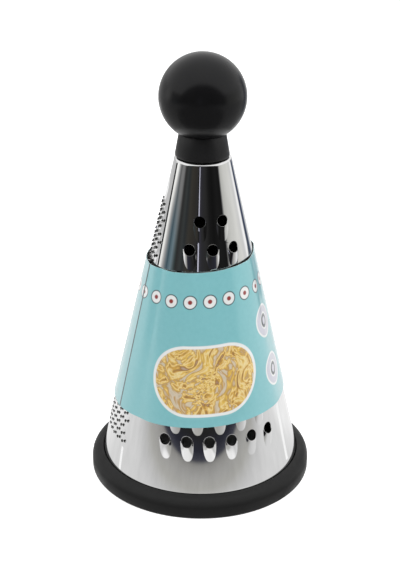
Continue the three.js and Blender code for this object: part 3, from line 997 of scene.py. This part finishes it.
ground = ink_over(TEAL, spread(noise_on(print_face, 500), 0, 1), DEEP_TEAL)
from_middle = calc("ABSOLUTE", across_from(CAPSULE_AZIMUTH))
beyond = calc("MAXIMUM", calc("SUBTRACT", from_middle, CAPSULE_HALF_LENGTH), 0.0)
capsule = length_of(beyond, height_from(CAPSULE_LEVEL))
marble = add_node(print_face, "TexNoise", {
    "Scale": 3.4, "Detail": 2.5, "Roughness": 0.5, "Distortion": 3.2})
stretch = add_node(print_face, "Mapping", {"Scale": (6, 2.2, 1)})
wire(card_map.outputs["UV"], stretch.inputs[0])
wire(stretch.outputs[0], marble.inputs["Vector"])
golds = add_node(print_face, "ValToRGB")
for position, colour in GOLDS:
    if position in (0.0, 1.0):
        golds.color_ramp.elements[int(position)].color = colour
    else:
        golds.color_ramp.elements.new(position).color = colour
wire(marble.outputs["Fac"], golds.inputs[0])
picture = ink_over(ground, within(capsule, CAPSULE_RIM), WHITE)
picture = ink_over(picture, within(capsule, CAPSULE_FILL), golds.outputs[0])

rosette = length_of(across_from(ROSETTE_AZIMUTH, ROSETTE_COUNT), height_from(ROSETTE_LEVEL))
for edge, ink in ((0.036, DARK), (0.031, WHITE), (0.011, RED)):
    picture = ink_over(picture, within(rosette, edge), ink)
for level in ROUNDEL_LEVELS:
    roundel = length_of(across_from(ROUNDEL_AZIMUTH), height_from(level))
    for edge, ink in ((0.088, WHITE), (0.078, LILAC), (0.045, WHITE), (0.036, DARK), (0.02, LILAC)):
        picture = ink_over(picture, within(roundel, edge), ink)
# A thin soft dark line is laid along each fold.
fold = calc("ABSOLUTE", across_from(FOLDS[0]))
picture = ink_over(picture, within(fold, FOLD_WIDTH, FOLD_SOFT), FOLD_LINE_DARK)
wire(picture, shader.inputs["Base Color"])
worn(shader, 150, 0.28, 0.4)
grained(shader, 900, 0.05, 0.0002)
print("print has", len(print_face.node_tree.nodes), "nodes")

# %% Back and cut edge of the card
def speckled(name, roughness, scale, dark, pale):
    material, shader = new_finish(name, {"Roughness": roughness})
    specks = spread(noise_on(material, scale), 0, 1)
    wire(ink_over((*dark, 1), specks, (*pale, 1)), shader.inputs["Base Color"])
    return material


card_back = speckled("card_back", 0.9, 1200, (0.2, 0.19, 0.18), (0.3, 0.29, 0.27))
card_edge = speckled("card_edge", 0.85, 2000, (0.4, 0.6, 0.62), (0.6, 0.66, 0.66))
dress(card_sleeve, print_face, card_back, card_edge)

# %% [markdown]
# ## Floor, light and surroundings
# The floor and the world are plain white to the camera and in reflections. Inside the ring the floor
# is darker, as the cone keeps the light out. Three wide soft lamps light the matt pieces.

# %% Floor and world
RING_INSIDE = (0.052, 0.058)


def seen_white(owner):
    """1 for camera, glossy and transmission rays, and 0 for the rest."""
    rays = add_node(owner, "LightPath").outputs
    plain = calc("MAXIMUM", rays["Is Camera Ray"], rays["Is Glossy Ray"])
    return calc("MAXIMUM", plain, rays["Is Transmission Ray"])


scene = bpy.context.scene
scene.view_settings.view_transform = "Standard"
world = bpy.data.worlds.new("studio")
scene.world = world
world.use_nodes = True
sky = world.node_tree.nodes["Background"]
sky.inputs["Color"].default_value = (1, 1, 1, 1)
wire(mapped(seen_white(world), 0, 1, 0.5, 1.0), sky.inputs["Strength"])

floor_mesh = bmesh.new()
bmesh.ops.create_grid(floor_mesh, x_segments=4, y_segments=4, size=6)
floor = object_from(floor_mesh, "floor")

floor_paint, shader = new_finish("floor_paint", {"Roughness": 0.9, "Emission Color": (1, 1, 1, 1)})
from_axis = add_node(floor_paint, "VectorMath", operation="LENGTH")
wire(place_on(floor_paint), from_axis.inputs[0])
distance = from_axis.outputs["Value"]
wire(mapped(distance, *RING_INSIDE, 0.5, 0.8), shader.inputs["Base Color"])
glow = calc("MULTIPLY", seen_white(floor_paint), mapped(distance, *RING_INSIDE, 0.0, 0.75))
wire(glow, shader.inputs["Emission Strength"])
dress(floor, floor_paint)

# %% Lamps
def soft_lamp(name, place, target, size, power):
    data = bpy.data.lights.new(name, "AREA")
    data.size = size
    data.energy = power
    lamp = bpy.data.objects.new(name, data)
    bpy.context.collection.objects.link(lamp)
    aim = (Vector(target) - Vector(place)).to_track_quat("-Z", "Y").to_matrix().to_4x4()
    lamp.matrix_world = Matrix.Translation(place) @ aim
    lamp.visible_glossy = False
    print(name, power, "watts")


soft_lamp("lamp_over", (0.1, -0.2, 1.3), (0, 0, 0.1), 0.9, 7.5)
soft_lamp("lamp_left", (-1.0, -0.5, 0.9), (0, 0, 0.12), 0.7, 4)
soft_lamp("lamp_right", (1.0, -0.4, 0.8), (0, 0, 0.12), 0.7, 4)

# %% [markdown]
# ### Screens
# A mirror needs something to mirror, so screens that only reflections show stand round the table: a
# round one that is dark in front, pale at the right and striped at the left, and a sheet on the floor
# that fades to dark towards the front, where the camera stands. A narrow bar, two strips on the floor
# and a dark card below the ball add the small highlights and the ball's dark spot. Each screen glows
# with colours that are stored at its points.

# %% Screen paint
def shade_of(level):
    """A colour as it is, or a grey from one number."""
    return Vector((level,) * 3 if isinstance(level, (int, float)) else level)


def between(stops, value):
    """The colour at a value, from a list of stops."""
    for (before, first), (after, second) in zip(stops, stops[1:]):
        if value <= after:
            share = max(0, (value - before) / (after - before))
            return shade_of(first).lerp(shade_of(second), share)
    return shade_of(stops[-1][1])


screen_paint, shader = new_finish("screen_paint", {
    "Base Color": (0, 0, 0, 1), "Roughness": 1, "Specular IOR Level": 0, "Emission Strength": 1})
shades = add_node(screen_paint, "VertexColor", layer_name="shade")
wire(shades.outputs["Color"], shader.inputs["Emission Color"])


def put_up(bm, name, colour_at):
    """Makes a mesh a screen whose points glow as a function of their place says."""
    shade = bm.verts.layers.float_color.new("shade")
    for v in bm.verts:
        v[shade] = (*shade_of(colour_at(v.co)), 1)
    screen = object_from(bm, name)
    screen.data.materials.append(screen_paint)
    for ray in ("camera", "diffuse", "shadow", "transmission"):
        setattr(screen, "visible_" + ray, False)


# %% Round screen
SCREEN_RADIUS, SCREEN_HEIGHT, ARCH_HEIGHT, ARCH_HALF_ANGLE = 0.7, 0.34, 0.9, 57
LOW_END, HIGH_START = 0.13, 0.19
LEFT_FAR = (
    (-180, 0.72), (-160, 0.63), (-137, 0.6), (-110, 0.6), (-107, 1.1))
LEFT_HIGH = (
    *LEFT_FAR, (-104, 1.25), (-93, (1.25, 1.25, 1.2)), (-89, 0.7), (-85, 0.37), (-81, 0.2),
    (-78, 0.12), (-75, 0.2), (-70, 0.23), (-66, 0.21), (-63, 0.15), (-60, 0.06), (-57, 0.033))
LEFT_LOW = (
    *LEFT_FAR, (-103, 1.1), (-97, (1.0, 1.0, 0.95)), (-93, 0.6), (-89, 0.36),
    (-84, (0.16, 0.2, 0.22)), (-79, (0.06, 0.1, 0.125)), (-74, (0.12, 0.18, 0.21)),
    (-70, (0.165, 0.23, 0.265)), (-65, (0.1, 0.13, 0.14)), (-61, (0.045, 0.06, 0.06)), (-57, 0.03))
FRONT_AND_RIGHT = (
    (-57, 0.032), (-48, (0.045, 0.05, 0.05)), (-42, (0.03, 0.034, 0.036)),
    (-33, (0.045, 0.042, 0.036)), (-22, (0.035, 0.032, 0.028)), (-12, (0.03, 0.03, 0.03)),
    (-10.5, 0.004), (-9, 0.004), (-7, (0.045, 0.045, 0.06)), (0, (0.03, 0.03, 0.034)), (10, 0.026),
    (20, 0.012), (30, 0.008), (45, 0.013), (58, 0.01), (61, 0.2), (63.5, (0.52, 0.52, 0.49)),
    (66, (0.58, 0.58, 0.55)), (76, (0.67, 0.67, 0.64)), (88, (0.73, 0.73, 0.7)),
    (100, (0.79, 0.79, 0.76)), (114, 0.74), (120, 1.05), (127, 1.05), (130, (0.06, 0.075, 0.12)),
    (141, (0.07, 0.085, 0.14)), (145, (0.5, 0.53, 0.58)), (151, 0.85), (160, 1.0), (180, 0.9))


def screen_colour(place):
    azimuth = azimuth_of(place)
    if azimuth > FRONT_AND_RIGHT[0][0]:
        return between(FRONT_AND_RIGHT, azimuth)
    return between(LEFT_HIGH if place.z > (LOW_END + HIGH_START) / 2 else LEFT_LOW, azimuth)


def screen_top(place):
    """Height of the upper edge, which is arched in front."""
    arch = max(0, 1 - (azimuth_of(place) / ARCH_HALF_ANGLE) ** 2)
    return SCREEN_HEIGHT + (ARCH_HEIGHT - SCREEN_HEIGHT) * arch


round_screen = bmesh.new()
bmesh.ops.create_circle(round_screen, segments=720, radius=SCREEN_RADIUS)
edges = round_screen.edges[:]
for height in (LOW_END, HIGH_START, None):
    edges = extruded(round_screen, edges, lambda v: (*v.co.xy, height or screen_top(v.co)))
put_up(round_screen, "round_screen", screen_colour)

# %% Floor sheet
FLOOR_START, FLOOR_LIFT = 0.061, 0.0004
NEAR_RINGS, FAR_RINGS = [0.064 + 0.004 * i for i in range(26)], [0.18 + 0.015 * i for i in range(22)]
TOWARDS_FRONT = (
    (-0.05, 1.0), (-0.02, 0.86), (0, 0.81), (0.05, 0.78), (0.1, 0.65), (0.16, (0.47, 0.465, 0.44)),
    (0.22, (0.42, 0.415, 0.4)), (0.28, (0.35, 0.345, 0.33)), (0.31, (0.3, 0.295, 0.28)),
    (0.34, (0.06, 0.062, 0.08)), (0.42, (0.027, 0.028, 0.04)), (0.6, 0.02))
NEAR_EDGE, NEAR_BEND, FACING_HALF_ANGLE = 0.138, 0.012, 55
NEAR_GLOW = ((-0.03, 0.35), (-0.005, 0.4), (0.005, 0))
LINE_START = 0.35
FAR_LINE = (
    (112, 1), (120, 0.66), (126, (0.36, 0.38, 0.4)), (130, (0.07, 0.09, 0.115)),
    (140, (0.07, 0.09, 0.14)), (145, (0.5, 0.53, 0.58)), (151, 0.85), (160, 1))


def floor_colour(place):
    azimuth = azimuth_of(place)
    outwards = hypot(place.x, place.y)
    if outwards > LINE_START and azimuth > FAR_LINE[0][0]:
        return between(FAR_LINE, azimuth)
    near_edge = NEAR_EDGE - NEAR_BEND * (azimuth / 30) ** 2
    near = between(NEAR_GLOW, outwards - near_edge)
    facing = max(0, 1 - (azimuth / FACING_HALF_ANGLE) ** 2)
    return between(TOWARDS_FRONT, -place.y) + near * min(1, 2 * facing)


floor_sheet = bmesh.new()
bmesh.ops.create_circle(floor_sheet, segments=144, radius=FLOOR_START)
edges = floor_sheet.edges[:]
for radius in (*NEAR_RINGS, *FAR_RINGS, 0.6, SCREEN_RADIUS):
    edges = carry(floor_sheet, edges, radius / MM, 0)
bmesh.ops.translate(floor_sheet, verts=floor_sheet.verts, vec=(0, 0, FLOOR_LIFT))
put_up(floor_sheet, "floor_sheet", floor_colour)

# %% Bright bar, dark card and bright strips
BAR_RADIUS, BAR_AZIMUTH, BAR_WIDTH, BAR_MIDDLE, BAR_HEIGHT = 690, -7.5, 2.6, 245, 180
CARD_START, CARD_NEAR, CARD_FAR, CARD_Z, CARD_PITCH = 16, 7, 94, 175.2, 9
CARD_AZIMUTH, CARD_ANGLE = -5, 240
SPOT_MIDDLE, SPOT_OUT, SPOT_IN, SPOT_HALF_ANGLE = 30, 66, 36, 54
STRIP_HEIGHT = 0.8
STRIPS = (((-81, -22.5), 3.8, (-123, -6.4), 7), ((81, -3.5), 4.6, (170, 59.5), 16.5))

bright_bar = bmesh.new()
bmesh.ops.create_grid(bright_bar, x_segments=1, y_segments=1, size=0.5)
for v in bright_bar.verts:
    v.co = around(BAR_RADIUS, BAR_AZIMUTH + BAR_WIDTH * v.co.x, BAR_MIDDLE + BAR_HEIGHT * v.co.y)
put_up(bright_bar, "bright_bar", lambda place: (0.62, 0.62, 0.74))

dark_card = bmesh.new()
bmesh.ops.create_grid(dark_card, x_segments=80, y_segments=30, size=0.5)
for v in dark_card.verts:
    outwards = CARD_NEAR + (CARD_FAR - CARD_NEAR) * (v.co.y + 0.5)
    z = CARD_Z + outwards * tan(radians(CARD_PITCH))
    v.co = around(CARD_START + outwards, CARD_AZIMUTH + CARD_ANGLE * v.co.x, z)


def card_colour(place):
    """Dark in an oval spot, and grey beyond it."""
    outwards = hypot(place.x, place.y) / MM - CARD_START - SPOT_MIDDLE
    along = outwards / (SPOT_OUT if outwards > 0 else SPOT_IN)
    across = (azimuth_of(place) - CARD_AZIMUTH) / SPOT_HALF_ANGLE
    return 0.18 if hypot(across, along) < 1 else 0.5


put_up(dark_card, "dark_card", card_colour)

bright_strips = bmesh.new()
for near, near_width, far, far_width in STRIPS:
    near, far = MM * Vector((*near, STRIP_HEIGHT)), MM * Vector((*far, STRIP_HEIGHT))
    across = (far - near).cross((0, 0, 1)).normalized() * MM / 2
    corners = (near - across * near_width, near + across * near_width,
               far + across * far_width, far - across * far_width)
    bright_strips.faces.new([bright_strips.verts.new(corner) for corner in corners])
put_up(bright_strips, "bright_strips", lambda place: 1.14)
